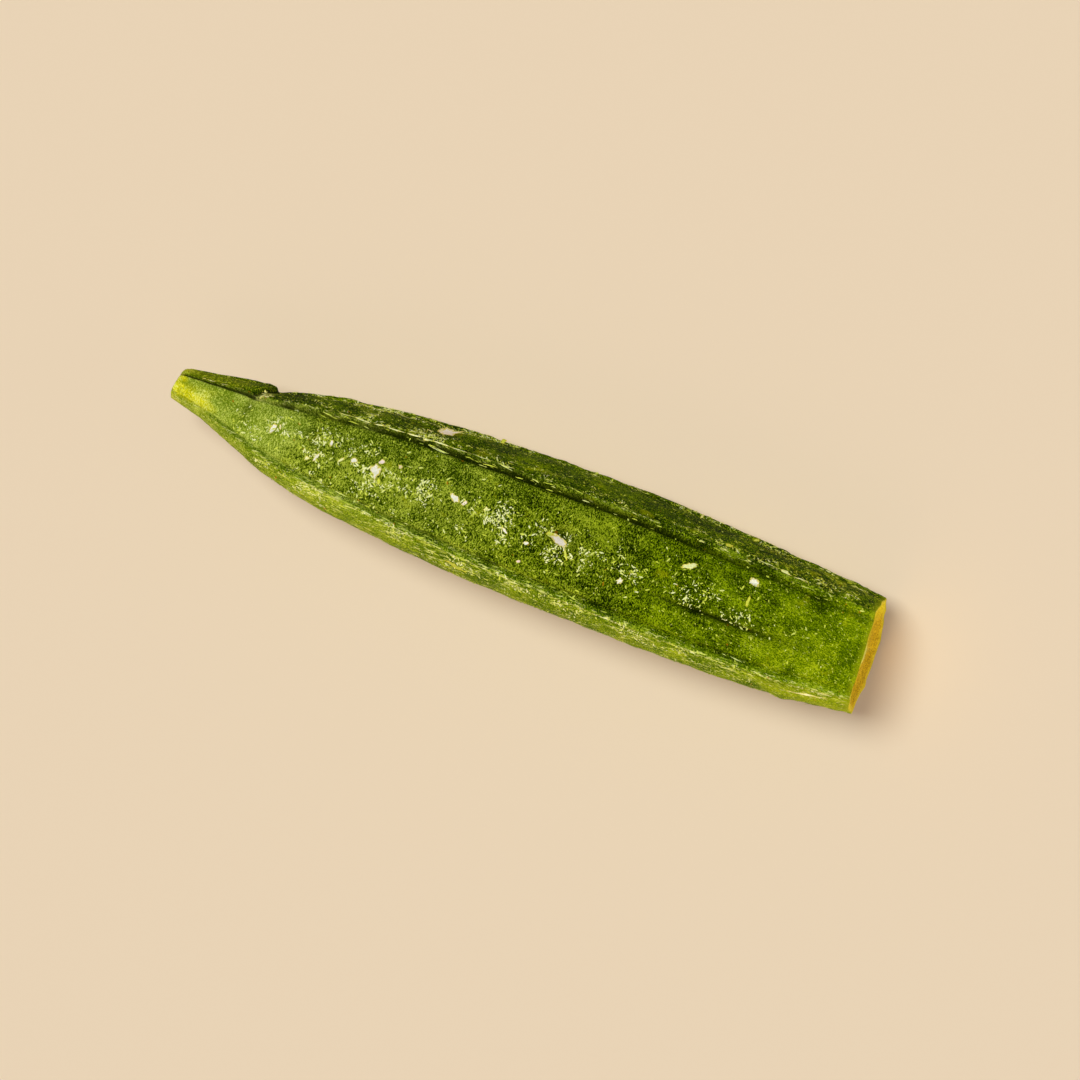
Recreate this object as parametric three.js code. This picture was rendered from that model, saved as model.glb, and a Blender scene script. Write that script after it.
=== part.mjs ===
import * as THREE from 'three';

// ---- size of the trimmed pod, in millimetres ----
const LENGTH = 79.2; // from the tip cut to the stem-end cut
const AXIS_HEIGHT = 7.5; // height of the pod's middle line above the surface it lies on
const RIB_HEIGHT = 0.26; // how far each rib stands proud of its ridge
const RIB_WIDTH = 0.3;
const GROOVE_WIDTH = 0.26; // a furrow runs beside each rib
const GROOVE_FADE = 0.5; // how much shallower the furrows are at the stem-end cut
const FULL_RADIUS = 6.5; // below this ridge radius the ribs and furrows shrink with the pod
const SEED_SWELL = 0.13; // low swellings where the seeds press on the wall
const SWAY_TILT = 80; // degrees, the direction in which the pod bends
const TIP_HOLLOW = 0.08; // the tip cut is bitten back between its corners
const BUTT_LEAN = 4.4; // the stem-end cut leans over this much of the pod
const LEAN_ACROSS = 0.03; // slope of that cut from -Y to +Y
const LEAN_UP = 0.022; // and from its top to its underside
const DISH_DEPTH = 0.6; // the flesh of the stem-end cut has shrunk below its rim
const LOCULE_DEPTH = 0.45; // five seed chambers show as soft hollows in that cut
const CORE_RISE = 0.3;

// ---- how the pod changes along its length: [distance from the tip cut, value] ----
const RIDGE_RADIUS = [
  [0, 1.9], [4, 2.65], [8, 3.8], [12, 4.85], [16, 5.75], [20, 6.4], [25, 7.0], [32, 7.6],
  [40, 8.0], [50, 8.15], [58, 8.1], [66, 7.8], [72, 7.4], [76, 7.0], [79.2, 6.6],
];
const SWAY = [
  [0, 0.75], [4, 0.5], [8, 0.1], [12, -0.35], [18, -0.5], [26, -0.4], [36, -0.35], [50, -0.22],
  [60, -0.4], [72, -0.4], [79.2, -0.05],
];
// the five ridges, in degrees round the section, 0 facing -Y and 90 facing +Z
const RIDGES = [
  [[0, -19], [20, -23], [80, -24]],
  [[0, 43], [8, 42], [12, 39.5], [20, 37.5], [36, 39], [50, 38.5], [62, 36.5], [80, 35.5]],
  [[0, 113], [20, 117], [32, 120], [48, 123], [80, 123]],
  [[0, 193], [30, 198], [80, 199]],
  [[0, 266], [30, 269], [80, 270]],
];
// from each rib's crest to the floor of its furrow
const GROOVE_OFFSET = [[0, 0.42], [36, 0.42], [50, 0.58], [80, 0.65]];
// 0 would be a round face and 1 a flat one, in the order of the ridges that start them
const FACE_FLATNESS = [0.62, 0.6, 0.5, 0.32, 0.32];
// depth of the furrows at both edges of each face, in the same order
const FACE_GROOVES = [0.14, 0.32, 0.14, 0.18, 0.14];

// ---- marks in the skin: place along the pod, degrees round it, reach along, reach round, rise ----
const DENTS = [
  [45.5, 74, 1.5, 1.1, -0.5], // hollow beside the middle of the broad face
  [17.5, 72, 0.7, 0.6, -0.35], // small pit nearer the tip
  [64, 90.5, 6.0, 0.42, -0.34], // long crease towards the stem end
  [63, 52, 5.0, 0.4, -0.16], // second furrow beside the front rib
  [11.8, -9, 2.4, 3.0, -0.32], // the face sinks in behind the tear
  [72.9, 174, 0.7, 1.2, 0.32], // torn blister on the back
  [29.5, 11, 4.0, 1.2, -0.12],
  [52, 63, 5.0, 1.3, -0.12],
  [33, 95, 6.0, 1.4, -0.12],
  [70, 73, 4.0, 1.6, 0.12],
];

// ---- stations along the pod and points round it ----
const STATIONS = [
  0, 0.5, 1.4, 2.6, 4, 5.5, 7, 8.1, 8.7, 9.1, 9.45, 9.8, 10.15, 10.5, 10.9, 11.4, 12.2, 13.4, 15,
  16.4, 17.5, 18.6, 20.2, 22.2, 24.4, 26.6, 29, 31.4, 33.8, 36.2, 38.6, 41, 43, 44.3, 45.5, 46.7,
  48, 50, 52.4, 54.8, 57, 59, 61, 63, 65, 67, 69, 71, 72.3, 73, 73.8, 74.8, 76, 77.2, 78.1, 78.8,
  79.2,
];
const RIB_STEPS = [0, 0.22, 0.45, 0.75, 1.25];
const FACE_STEPS = 5;
const TIP_RINGS = [1, 0.8, 0.5, 0.2];
const BUTT_RINGS = [1, 0.94, 0.84, 0.7, 0.55, 0.38, 0.2];

const radians = (degrees) => (degrees * Math.PI) / 180;
const bell = (x) => Math.exp(-x * x);
const step = (x, a, b) => {
  const t = Math.min(Math.max((x - a) / (b - a), 0), 1);
  return t * t * (3 - 2 * t);
};

// smooth curve through the listed places
function along(list, s) {
  let i = 0;
  while (i < list.length - 2 && s > list[i + 1][0]) i += 1;
  const slope = (j) => {
    const a = list[Math.max(j - 1, 0)];
    const b = list[Math.min(j + 1, list.length - 1)];
    return (b[1] - a[1]) / (b[0] - a[0]);
  };
  const [x0, y0] = list[i];
  const [x1, y1] = list[i + 1];
  const h = x1 - x0;
  const t = Math.min(Math.max((s - x0) / h, 0), 1);
  const t2 = t * t;
  const t3 = t2 * t;
  return (2 * t3 - 3 * t2 + 1) * y0 + (t3 - 2 * t2 + t) * h * slope(i)
    + (-2 * t3 + 3 * t2) * y1 + (t3 - t2) * h * slope(i + 1);
}

// the torn fold that runs across the front face and fades out on the broad one: the skin
// on the tip's side of it stands proud and drops steeply, then it rises again slowly
function tear(s, theta) {
  const place = theta < 41 ? 9.25 + (41 - theta) * 0.023 : 9.25 - (theta - 41) * 0.006;
  const front = 1 / (1 + Math.exp((theta - 45) / 3));
  const under = 1 / (1 + Math.exp(-(theta + 42) / 5));
  const broad = 0.5 * bell((theta - 67) / 24);
  const depth = under * Math.max(front, broad);
  const behind = s - place;
  const proud = 0.15 * under * front * bell((behind + 1.1) / 0.9);
  const slope = behind < 0 && theta < 45 ? 0.3 : 0.95;
  return proud - 0.4 * depth * bell(behind / slope);
}

// distance of the skin from the middle line
function skin(s, theta, face, low, high, radius) {
  const half = radians((high - low) / 2);
  const off = radians(theta - (low + high) / 2);
  const flat = FACE_FLATNESS[face];
  const scale = Math.min(1, radius / FULL_RADIUS);
  const gap = (Math.min(theta - low, high - theta) * Math.PI * radius) / 180;
  const middle = Math.cos((off / half) * (Math.PI / 2));
  let r = radius * (1 - flat + (flat * Math.cos(half)) / Math.cos(off));
  r += RIB_HEIGHT * scale * bell(gap / (RIB_WIDTH * scale));
  const furrow = FACE_GROOVES[face] * (1 - GROOVE_FADE * step(s, 64, 78));
  r -= furrow * scale * bell((gap / scale - along(GROOVE_OFFSET, s)) / GROOVE_WIDTH);
  const swell = Math.sin(s * 1.42 + face * 2.1) + 0.7 * Math.sin(s * 0.83 + face * 1.3 + off * 5);
  r += SEED_SWELL * 0.6 * scale * middle * swell;
  for (const [ds, dt, reachAlong, reachRound, rise] of DENTS) {
    let turn = theta - dt;
    if (turn > 180) turn -= 360;
    const arc = (radians(turn) * radius) / reachRound;
    r += rise * bell((s - ds) / reachAlong) * bell(arc);
  }
  return r + tear(s, theta > 200 ? theta - 360 : theta);
}

// a ring of points at one station, from the first ridge round to it again
function ring(s) {
  const radius = along(RIDGE_RADIUS, s);
  const sway = along(SWAY, s);
  const ridges = RIDGES.map((list) => along(list, s));
  const scale = Math.min(1, radius / FULL_RADIUS);
  const points = [];
  for (let face = 0; face < 5; face += 1) {
    const low = ridges[face];
    const high = face < 4 ? ridges[face + 1] : ridges[0] + 360;
    const lift = RIB_STEPS.map((d) => (d * scale * 180) / (Math.PI * radius));
    const first = low + lift[lift.length - 1];
    const last = high - lift[lift.length - 1];
    const angles = lift.map((a) => low + a);
    for (let i = 1; i <= FACE_STEPS; i += 1) {
      angles.push(first + ((last - first) * i) / (FACE_STEPS + 1));
    }
    for (let i = lift.length - 1; i > 0; i -= 1) angles.push(high - lift[i]);
    for (const theta of angles) {
      const r = skin(s, theta, face, low, high, radius);
      const middle = Math.cos(((theta - (low + high) / 2) / (high - low)) * Math.PI);
      const y = -r * Math.cos(radians(theta)) - sway * Math.sin(radians(SWAY_TILT));
      const z = r * Math.sin(radians(theta)) - sway * Math.cos(radians(SWAY_TILT));
      const tip = TIP_HOLLOW * Math.max(0, 1 - s / 3) * middle;
      const near = Math.max(0, 1 - (LENGTH - s) / BUTT_LEAN);
      const lean = near * (LEAN_ACROSS * y - LEAN_UP * z);
      points.push([LENGTH / 2 - s - tip - lean, y, Math.max(z, -AXIS_HEIGHT), middle]);
    }
  }
  return points;
}

// ---- one closed skin: rings along the pod, then the two cut faces ----
const positions = [];
const triangles = [];
const rings = STATIONS.map(ring);
const count = rings[0].length;
const indexOf = rings.map((points) => points.map(([x, y, z]) => positions.push(x, y, z) / 3 - 1));
for (let i = 0; i + 1 < rings.length; i += 1) {
  for (let j = 0; j < count; j += 1) {
    const k = (j + 1) % count;
    const [a, b, c, d] = [indexOf[i][j], indexOf[i][k], indexOf[i + 1][k], indexOf[i + 1][j]];
    triangles.push(a, b, d);
    triangles.push(b, c, d);
  }
}

// closes one end: each inner ring is the rim drawn in towards its middle and sunk by depth()
function close(rim, rimIndex, fractions, inward, depth) {
  const centre = [0, 1, 2].map((axis) => rim.reduce((sum, p) => sum + p[axis], 0) / rim.length);
  let outer = rimIndex;
  for (const f of fractions.slice(1)) {
    const inner = rim.map((p) => {
      const [x, y, z] = [0, 1, 2].map((axis) => centre[axis] + (p[axis] - centre[axis]) * f);
      return positions.push(x + inward * depth(f, p[3]), y, z) / 3 - 1;
    });
    for (let j = 0; j < rim.length; j += 1) {
      const k = (j + 1) % rim.length;
      const quad = [outer[j], outer[k], inner[k], inner[j]];
      const order = inward < 0 ? [0, 3, 1, 1, 3, 2] : [0, 1, 3, 1, 2, 3];
      order.forEach((n) => triangles.push(quad[n]));
    }
    outer = inner;
  }
  const middle = positions.push(centre[0] + inward * depth(0, 0), centre[1], centre[2]) / 3 - 1;
  for (let j = 0; j < rim.length; j += 1) {
    const k = (j + 1) % rim.length;
    triangles.push(...(inward < 0 ? [outer[j], middle, outer[k]] : [outer[j], outer[k], middle]));
  }
}

const tipDepth = (f) => 0.22 * step(1 - f, 0, 0.6);
const buttDepth = (f, middle) => {
  const dish = DISH_DEPTH * step(1 - f, 0.04, 0.3);
  const locule = LOCULE_DEPTH * bell((f - 0.55) / 0.2) * (1 - middle) ** 2;
  return dish + locule - CORE_RISE * bell(f / 0.22);
};
const last = rings.length - 1;
close(rings[0], indexOf[0], TIP_RINGS, -1, tipDepth);
close(rings[last], indexOf[last], BUTT_RINGS, 1, buttDepth);

// the pod lies on its underside, centred over the origin
const bounds = new THREE.Box3().setFromArray(positions);
const middle = bounds.getCenter(new THREE.Vector3());
const geometry = new THREE.BufferGeometry();
geometry.setAttribute('position', new THREE.Float32BufferAttribute(positions, 3));
geometry.setIndex(triangles);
geometry.translate(-middle.x, -middle.y, -bounds.min.z);
geometry.computeVertexNormals();

const skinGreen = new THREE.MeshStandardMaterial({ color: 0x7d8a2c, roughness: 0.6, metalness: 0 });
skinGreen.name = 'pod_skin';
const pod = new THREE.Mesh(geometry, skinGreen);
pod.name = 'okra_pod';

const group = new THREE.Group();
group.name = 'okra_pod_part';
group.add(pod);

export default group;
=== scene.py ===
import math
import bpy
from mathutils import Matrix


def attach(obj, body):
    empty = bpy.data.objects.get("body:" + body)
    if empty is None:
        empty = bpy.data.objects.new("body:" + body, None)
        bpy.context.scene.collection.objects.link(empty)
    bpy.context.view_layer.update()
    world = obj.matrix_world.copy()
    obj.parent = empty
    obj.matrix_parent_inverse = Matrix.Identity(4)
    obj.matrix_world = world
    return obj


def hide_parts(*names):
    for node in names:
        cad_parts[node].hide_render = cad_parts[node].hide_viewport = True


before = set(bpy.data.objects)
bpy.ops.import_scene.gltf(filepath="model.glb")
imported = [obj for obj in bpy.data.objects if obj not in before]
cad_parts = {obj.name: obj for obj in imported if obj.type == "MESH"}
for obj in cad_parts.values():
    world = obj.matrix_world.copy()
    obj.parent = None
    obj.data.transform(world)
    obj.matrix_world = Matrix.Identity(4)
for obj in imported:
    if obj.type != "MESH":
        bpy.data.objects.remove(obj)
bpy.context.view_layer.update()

from types import SimpleNamespace

import bpy
import numpy as np
from mathutils import Matrix, Vector

scene = bpy.context.scene

# ---- Camera ----
# It looks down on the pod, a little from the front and from past the stem-end cut,
# turned so that the tip points to the upper left of the frame.
lens = 200.0
sensor_width = 36.0
nearest_seen = 0.01
camera_distance = 0.6315
looks_from = Vector((-0.167, -0.171, 0.971)).normalized()
pod_slope = math.radians(21.2)
pod_middle = Vector((-0.0006, 0.0002, 0.0077))
aims_right, aims_down = 0.00196, 0.00109

stem_end_way = Vector((-1, 0, 0))
level_right = (stem_end_way - looks_from * stem_end_way.dot(looks_from)).normalized()
level_up = looks_from.cross(level_right)
picture_right = level_right * math.cos(pod_slope) + level_up * math.sin(pod_slope)
picture_up = looks_from.cross(picture_right)
looks_at = pod_middle + picture_right * aims_right - picture_up * aims_down
turn = Matrix((picture_right, picture_up, looks_from)).transposed()
camera = bpy.data.objects.new("camera", bpy.data.cameras.new("camera"))
camera.data.lens = lens
camera.data.sensor_width = sensor_width
camera.data.clip_start = nearest_seen
scene.collection.objects.link(camera)
scene.camera = camera
camera.matrix_world = Matrix.Translation(looks_at + looks_from * camera_distance) @ turn.to_4x4()

# ---- Table top ----
# The pod lies on a plain, matt, sand-coloured surface that reaches well past the frame.
# It is staging, and no part of the object.
surface_colour = (0.828, 0.640, 0.462, 1)
surface_reach = 3.0


def new_finish(name, roughness=0.5, specular=0.5):
    """A new material, and its shader."""
    finish = bpy.data.materials.new(name)
    finish.use_nodes = True
    shader = finish.node_tree.nodes["Principled BSDF"]
    shader.inputs["Roughness"].default_value = roughness
    shader.inputs["Specular IOR Level"].default_value = specular
    return finish, shader


surface_corners = [(-surface_reach, -surface_reach, 0), (surface_reach, -surface_reach, 0),
                   (surface_reach, surface_reach, 0), (-surface_reach, surface_reach, 0)]
surface_mesh = bpy.data.meshes.new("table_top")
surface_mesh.from_pydata(surface_corners, [], [(0, 1, 2, 3)])
table_top = bpy.data.objects.new("table_top", surface_mesh)
scene.collection.objects.link(table_top)
sand_surface, shader = new_finish("sand_surface", roughness=1.0, specular=0.0)
shader.inputs["Base Color"].default_value = surface_colour
surface_mesh.materials.append(sand_surface)

# ---- Light ----
# A broad lamp overhead, a little to the front and the tip's side, draws the soft shadow out
# behind the pod. Wide screens behind the pod and past its stem-end cut fill those sides.
room_glow = 0.10
scene.world = bpy.data.worlds.new("room")
scene.world.use_nodes = True
room = scene.world.node_tree.nodes["Background"]
room.inputs["Color"].default_value = (1, 1, 1, 1)
room.inputs["Strength"].default_value = room_glow


def hang_lamp(name, towards, strength, breadth, colour, shadow=True):
    """A distant lamp in the direction towards, and breadth degrees wide."""
    lamp = bpy.data.objects.new(name, bpy.data.lights.new(name, "SUN"))
    lamp.data.energy = strength
    lamp.data.color = colour
    lamp.data.angle = math.radians(breadth)
    lamp.data.use_shadow = shadow
    lamp.rotation_euler = Vector(towards).to_track_quat("Z", "Y").to_euler()
    scene.collection.objects.link(lamp)


hang_lamp("broad_lamp", towards=(0.24, -0.27, 1), strength=2.03, breadth=25, colour=(0.84, 0.98, 1.0))
hang_lamp("back_screen", towards=(-0.1, 0.8, 0.6), strength=1.75, breadth=40, colour=(1.0, 0.87, 0.80),
          shadow=False)
hang_lamp("end_screen", towards=(-1, -0.1, 0.12), strength=0.85, breadth=40, colour=(1.0, 0.95, 0.88),
          shadow=False)
scene.view_settings.view_transform = "Standard"
scene.view_settings.look = "None"

# ---- Pod ----
# One trimmed pod of plant tissue: five ribbed ridges with furrows beside them, a torn fold
# near the tip, the dents and creases of its dried wall, and a knife cut at each end.
# Here s is mm from the tip cut, and theta degrees round, with 0 to the front and 90 up.
mm = 0.001  # in the frame's metres; the sizes here are in mm
pod_length = 79.2
axis_height = 7.5
ridge_radius = [(0, 1.9), (4, 2.65), (8, 3.8), (12, 4.85), (16, 5.75), (20, 6.4), (25, 7.0), (32, 7.6),
                (40, 8.0), (50, 8.15), (58, 8.1), (66, 7.8), (72, 7.4), (76, 7.0), (79.2, 6.6)]
sway = [(0, 0.75), (4, 0.5), (8, 0.1), (12, -0.35), (18, -0.5), (26, -0.4), (36, -0.35), (50, -0.22),
        (60, -0.4), (72, -0.4), (79.2, -0.05)]
sway_tilt = math.radians(80)

# each ridge starts the face of its own number: the dark front, the broad one on top, and
# the lime one behind it show; the other two are underneath
front_face, broad_face, lime_face = 0, 1, 2
crest, lime_ridge = 1, 2
ridges = [[(0, -19), (20, -23), (80, -24)],
          [(0, 43), (8, 42), (12, 39.5), (20, 37.5), (36, 39), (50, 38.5), (62, 36.5), (80, 35.5)],
          [(0, 113), (20, 117), (32, 120), (48, 123), (80, 123)],
          [(0, 193), (30, 198), (80, 199)],
          [(0, 266), (30, 269), (80, 270)]]
face_flatness = np.array([0.62, 0.6, 0.5, 0.32, 0.32])
face_grooves = np.array([0.14, 0.32, 0.14, 0.18, 0.14])
face_unrest = np.array([0.6, 0.6, 0.25, 0.6, 0.6])

# the relief, which is lower where the pod is thinner than full_radius
full_radius = 6.5
rib_height, rib_width = 0.26, 0.3
groove_width, groove_core = 0.26, 0.11
groove_fade = 0.5
groove_offset = [(0, 0.42), (36, 0.42), (50, 0.58), (80, 0.65)]
seed_swell = 0.13
wrinkle_height, lump_height = 0.055, 0.14
felt_height, fine_felt_height = 0.035, 0.014

# s, theta, reach along, reach round, rise
dents = [(45.5, 74, 1.5, 1.1, -0.5), (17.5, 72, 0.7, 0.6, -0.35), (64, 93, 6.0, 0.42, -0.34),
         (63, 52, 5.0, 0.4, -0.16), (11.8, -9, 2.4, 3.0, -0.32), (72.4, 174, 1.1, 1.4, 0.28),
         (29.5, 11, 4.0, 1.2, -0.12), (52, 63, 5.0, 1.3, -0.12), (33, 95, 6.0, 1.4, -0.12),
         (70, 73, 4.0, 1.6, 0.12)]
crease_theta, crease_s, crease_reach = 93, 64, 5.5
shadow_theta, slivers_theta = 91, 84
crease_width, crease_depth = 0.16, 0.2
pleat_s, pleat_theta, pleat_width, pleat_depth = 63, 50, 0.62, 0.05
fold_s, fold_corner, fold_edge = 9.25, 41, 45
fold_swell, fold_depth = 0.15, 0.42

# the two cuts: how far from each the skin starts to lean, how the cut slants, and its hollows
tip_edge_round = 0.22
tip_lean, tip_trim, tip_slant, tip_hollow = 3, 0.22, 0.14, 0.08
tip_sunk, core_rise = 0.22, 0.3
stem_lean, lean_across, lean_up, stem_bow, stem_radius = 4.4, 0.065, 0.019, 0.32, 7
dish_depth, locule_depth, septum_width = 0.6, 0.12, 0.12
ragged_tip, ragged_stem = 0.12, 0.11

# from, to and number of stations, closer near the ends; and points round each face
stretches = [(0, 14, 90), (14, 76, 200), (76, pod_length, 24)]
points_on_face = (50, 80, 50, 50, 50)
tip_rings = [0.9, 0.78, 0.62, 0.45, 0.28, 0.12]
stem_rings = [0.985, 0.965, 0.94, 0.91, 0.87, 0.82, 0.77, 0.71,
              0.65, 0.58, 0.5, 0.42, 0.33, 0.24, 0.15, 0.07]


def along(places, s):
    """A smooth curve through the listed places."""
    x, y = np.array(places, float).T
    slope = np.empty(len(x))
    slope[1:-1] = (y[2:] - y[:-2]) / (x[2:] - x[:-2])
    slope[0] = (y[1] - y[0]) / (x[1] - x[0])
    slope[-1] = (y[-1] - y[-2]) / (x[-1] - x[-2])
    s = np.clip(s, x[0], x[-1])
    i = np.clip(np.searchsorted(x, s, side="right") - 1, 0, len(x) - 2)
    h = x[i + 1] - x[i]
    t = (s - x[i]) / h
    return ((2 * t**3 - 3 * t**2 + 1) * y[i] + (t**3 - 2 * t**2 + t) * h * slope[i]
            + (3 * t**2 - 2 * t**3) * y[i + 1] + (t**3 - t**2) * h * slope[i + 1])


def bell(x):
    """1 where x is 0, fading to nothing by about 2 on both sides."""
    return np.exp(-np.square(x))


def rise(x, start, end):
    """0 before start, 1 past end, and smooth between them."""
    t = np.clip((x - start) / (end - start), 0, 1)
    return t * t * (3 - 2 * t)


def grain(u, v, seed):
    """Smooth random relief from -1 to 1, about one bump to a unit."""
    cells = 64
    heights = np.random.default_rng(seed).uniform(-1, 1, (cells, cells))
    u, v = np.broadcast_arrays(u, v)
    i, j = np.floor(u).astype(int), np.floor(v).astype(int)
    a, b = rise(u - i, 0, 1), rise(v - j, 0, 1)

    def row(k):
        near, far = heights[(i + k) % cells, j % cells], heights[(i + k) % cells, (j + 1) % cells]
        return near * (1 - b) + far * b

    return row(0) * (1 - a) + row(1) * a


def locate(s, theta):
    """Where s and theta fall on the pod.

    face and ridge are the face and its nearer ridge, gap is mm from that ridge, and arc is mm
    round the pod. half is half the face's angle, off the angle from its middle, and middle is 1
    there and 0 at a ridge. turned is theta, but below 0 under the front. scale is the share of
    full size, groove is the gap to the furrow, and fade how much of the furrow is left.
    """
    edges = np.array([along(places, s) for places in ridges])
    edges = np.concatenate([edges, edges[:1] + 360])
    theta = np.where(theta < edges[0], theta + 360, theta)
    face = np.clip((theta >= edges).sum(0) - 1, 0, len(ridges) - 1)
    low = np.take_along_axis(edges, face[None], 0)[0]
    high = np.take_along_axis(edges, face[None] + 1, 0)[0]
    at = SimpleNamespace(s=s, theta=theta, face=face, radius=along(ridge_radius, s))
    at.turned = np.where(theta > 200, theta - 360, theta)
    at.half, at.off = np.radians((high - low) / 2), np.radians(theta - (low + high) / 2)
    at.middle = np.cos(at.off / at.half * math.pi / 2)
    at.ridge = np.where(theta - low < high - theta, face, (face + 1) % len(ridges))
    at.scale = np.minimum(1, at.radius / full_radius)
    at.gap = np.radians(np.minimum(theta - low, high - theta)) * at.radius / at.scale
    at.arc = np.radians(theta) * at.radius
    at.fade = 1 - groove_fade * rise(s, 64, 78)
    at.groove = along(groove_offset, s) + 0.07 * grain(s * 0.4, face * 3.7 + at.ridge * 1.9, 5)
    return at


def from_line(at, theta):
    """How many mm round the pod each spot is from the line at theta."""
    return at.arc - np.radians(theta) * at.radius


def flattened(at):
    """The section's radius before its relief, drawn in on the flat faces and at the tip's rim."""
    flat = face_flatness[at.face] - 0.1 * (at.face == lime_face) * (1 - rise(at.s, 48, 62))
    radius = at.radius * (1 - flat + flat * np.cos(at.half) / np.cos(at.off))
    return radius - tip_edge_round * (1 - rise(at.s, 0, 0.6)) * bell(at.gap / 0.8)


def rib_strength(at):
    """The ribs are broken along their length, and fade at the tip."""
    broken = 1 + 0.35 * grain(at.s * 0.45, at.ridge * 7.3, 3) + 0.15 * grain(at.s * 1.9, at.ridge * 5.1, 4)
    return broken * (0.35 + 0.65 * rise(at.s, 0, 5))


def ribs_and_furrows(at):
    """A low rib on each ridge, and a furrow with a sharp core on each side of it."""
    rib = rib_height * rib_strength(at) * bell(at.gap / rib_width)
    furrow = bell((at.gap - at.groove) / groove_width)
    core = bell((at.gap - at.groove) / groove_core) * (1 + 0.6 * grain(at.s * 1.3, at.ridge * 4.1, 6))
    return at.scale * (rib - face_grooves[at.face] * at.fade * (furrow + 0.5 * core))


def seed_swellings(at):
    """Low swellings down the middle of each face, over the seeds inside."""
    swell = np.sin(at.s * 1.42 + at.face * 2.1) + 0.7 * np.sin(at.s * 0.83 + at.face * 1.3 + at.off * 5)
    return seed_swell * face_unrest[at.face] * at.scale * at.middle * swell


def dented(at):
    """The rise of the listed dents, and how hollow each spot is for them, from 0 to 1."""
    relief, hollow = np.zeros_like(at.theta), np.zeros_like(at.theta)
    for place, theta, reach, reach_round, height in dents:
        away = (at.theta - theta + 180) % 360 - 180
        share = bell((at.s - place) / reach) * bell(np.radians(away) * at.radius / reach_round)
        relief += height * share
        hollow = np.maximum(hollow, share * min(1, max(0, -height) * 2.4))
    return relief, hollow


def torn_fold(at):
    """The torn fold's relief, the depth of its tear, and where its lip is bare, both 0 to 1."""
    turned = at.turned
    edge = fold_s + (fold_corner - turned) * np.where(turned < fold_corner, 0.023, 0.006)
    behind = at.s - (edge + 0.12 * grain(turned * 0.11, 0.5, 7))
    front = 1 / (1 + np.exp((turned - fold_edge) / 3))
    under = 1 / (1 + np.exp(-(turned + 42) / 5))
    fold = under * np.maximum(front, 0.5 * bell((turned - 67) / 24))
    valley = bell(behind / np.where((behind < 0) & (turned < fold_edge), 0.22, 0.95))
    relief = fold_swell * under * front * bell((behind + 1.1) / 0.9) - fold_depth * fold * valley
    tear = fold * bell((behind - 0.02) / np.where(turned < fold_edge, 0.26, 0.5))
    fibres = bell((behind - 0.66 - 0.2 * grain(at.theta * 0.13, 4.5, 24)) / 0.36)
    return relief, tear, rise(turned, -12, 26) * front * fibres


def dried_wall(at):
    """Long wrinkles beside the ribs, soft lumps, and a felt-like grain."""
    s, arc, gap = at.s, at.arc, at.gap
    wrinkle = grain(arc * 1.5 + grain(s * 0.2, at.face, 8) * 1.2, s * 0.11, 9)
    wrinkles = wrinkle_height * at.scale * wrinkle * bell((gap - 1.8) / 2.2)
    lumps = face_unrest[at.face] * at.scale * grain(s * 0.5, arc * 0.55, 10) * rise(gap, 0.8, 2.4)
    felt = felt_height * grain(s * 1.25, arc * 1.5, 11) + fine_felt_height * grain(s * 2.9, arc * 3.1, 12)
    return wrinkles + lump_height * lumps + felt


def long_crease(at):
    """How deep in the long crease of the broad face each spot is, from 0 to 1."""
    aside = from_line(at, crease_theta) - 0.35 * grain(at.s * 0.35, 2.5, 13)
    return bell(aside / crease_width) * bell((at.s - crease_s) / crease_reach)


def pleats(at):
    """Fine pleats along the broad face, between the crest and the crease."""
    patch = bell((at.s - pleat_s) / 5) * bell(from_line(at, pleat_theta) / 1.1) * (at.face == broad_face)
    return patch * (1 + np.cos(at.arc * 2 * math.pi / pleat_width + grain(at.s * 0.3, 0.2, 14)))


def trimmed(at, radius):
    """Points at that radius on the swaying pod, between its cuts, flat where they meet the table."""
    swayed = along(sway, at.s)
    y = -radius * np.cos(np.radians(at.theta)) - swayed * math.sin(sway_tilt)
    z = radius * np.sin(np.radians(at.theta)) - swayed * math.cos(sway_tilt)
    tip = np.maximum(0, 1 - at.s / tip_lean) * (tip_hollow * at.middle + tip_trim - tip_slant * y)
    slant = lean_across * y + lean_up * (z + stem_radius) + stem_bow * (1 - (y / stem_radius) ** 2)
    stem = np.maximum(0, 1 - (pod_length - at.s) / stem_lean) * slant
    ragged = ragged_stem * rise(at.s, 78.4, pod_length) * grain(at.arc * 0.9, 0.5, 15)
    ragged += ragged_tip * (1 - rise(at.s, 0, 1.2)) * grain(at.theta * 0.06, 1.5, 16)
    return np.stack([pod_length / 2 - at.s - tip - stem + ragged, y, np.maximum(z, -axis_height)], -1)


def furrow_shade(at):
    """Painted shade: the dark line in the furrow beside each ridge, strongest on the broad face."""
    s, gap, ridge = at.s, at.gap, at.ridge
    at_crest = ridge == crest
    side = np.select([at.face == broad_face, at_crest, ridge == lime_ridge], [1.0, 0.4, 0.5], 0.3)
    side = np.where(ridge == lime_ridge, side * (0.22 + 0.63 * rise(s, 20, 34)), side)
    breadth = 0.15 * (1 + 0.35 * grain(s * 0.9, ridge * 2.2, 17))
    soft = 0.18 + 0.2 * at_crest * bell((s - 40) / 16)
    to_crest = 0.07 * (at_crest & (at.face == broad_face))
    line = bell((gap - at.groove + to_crest) / (breadth + to_crest))
    line = (line + soft * bell((gap - at.groove - 0.15) / 0.45)) * side
    strength = np.where(at_crest, 0.35 + 0.65 * bell((s - 38) / np.where(s < 38, 22, 34)),
                        0.5 + 0.35 * grain(s * 0.5, 3.5, 23))
    strength = strength * (1 - 0.55 * (ridge == lime_ridge) * bell((s - 57) / 11))
    strength = np.where(at_crest & (s < 14), 0.95 * (1 - 0.6 * bell((s - 11) / 1.5)), strength)
    return line * strength * at.fade


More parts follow.
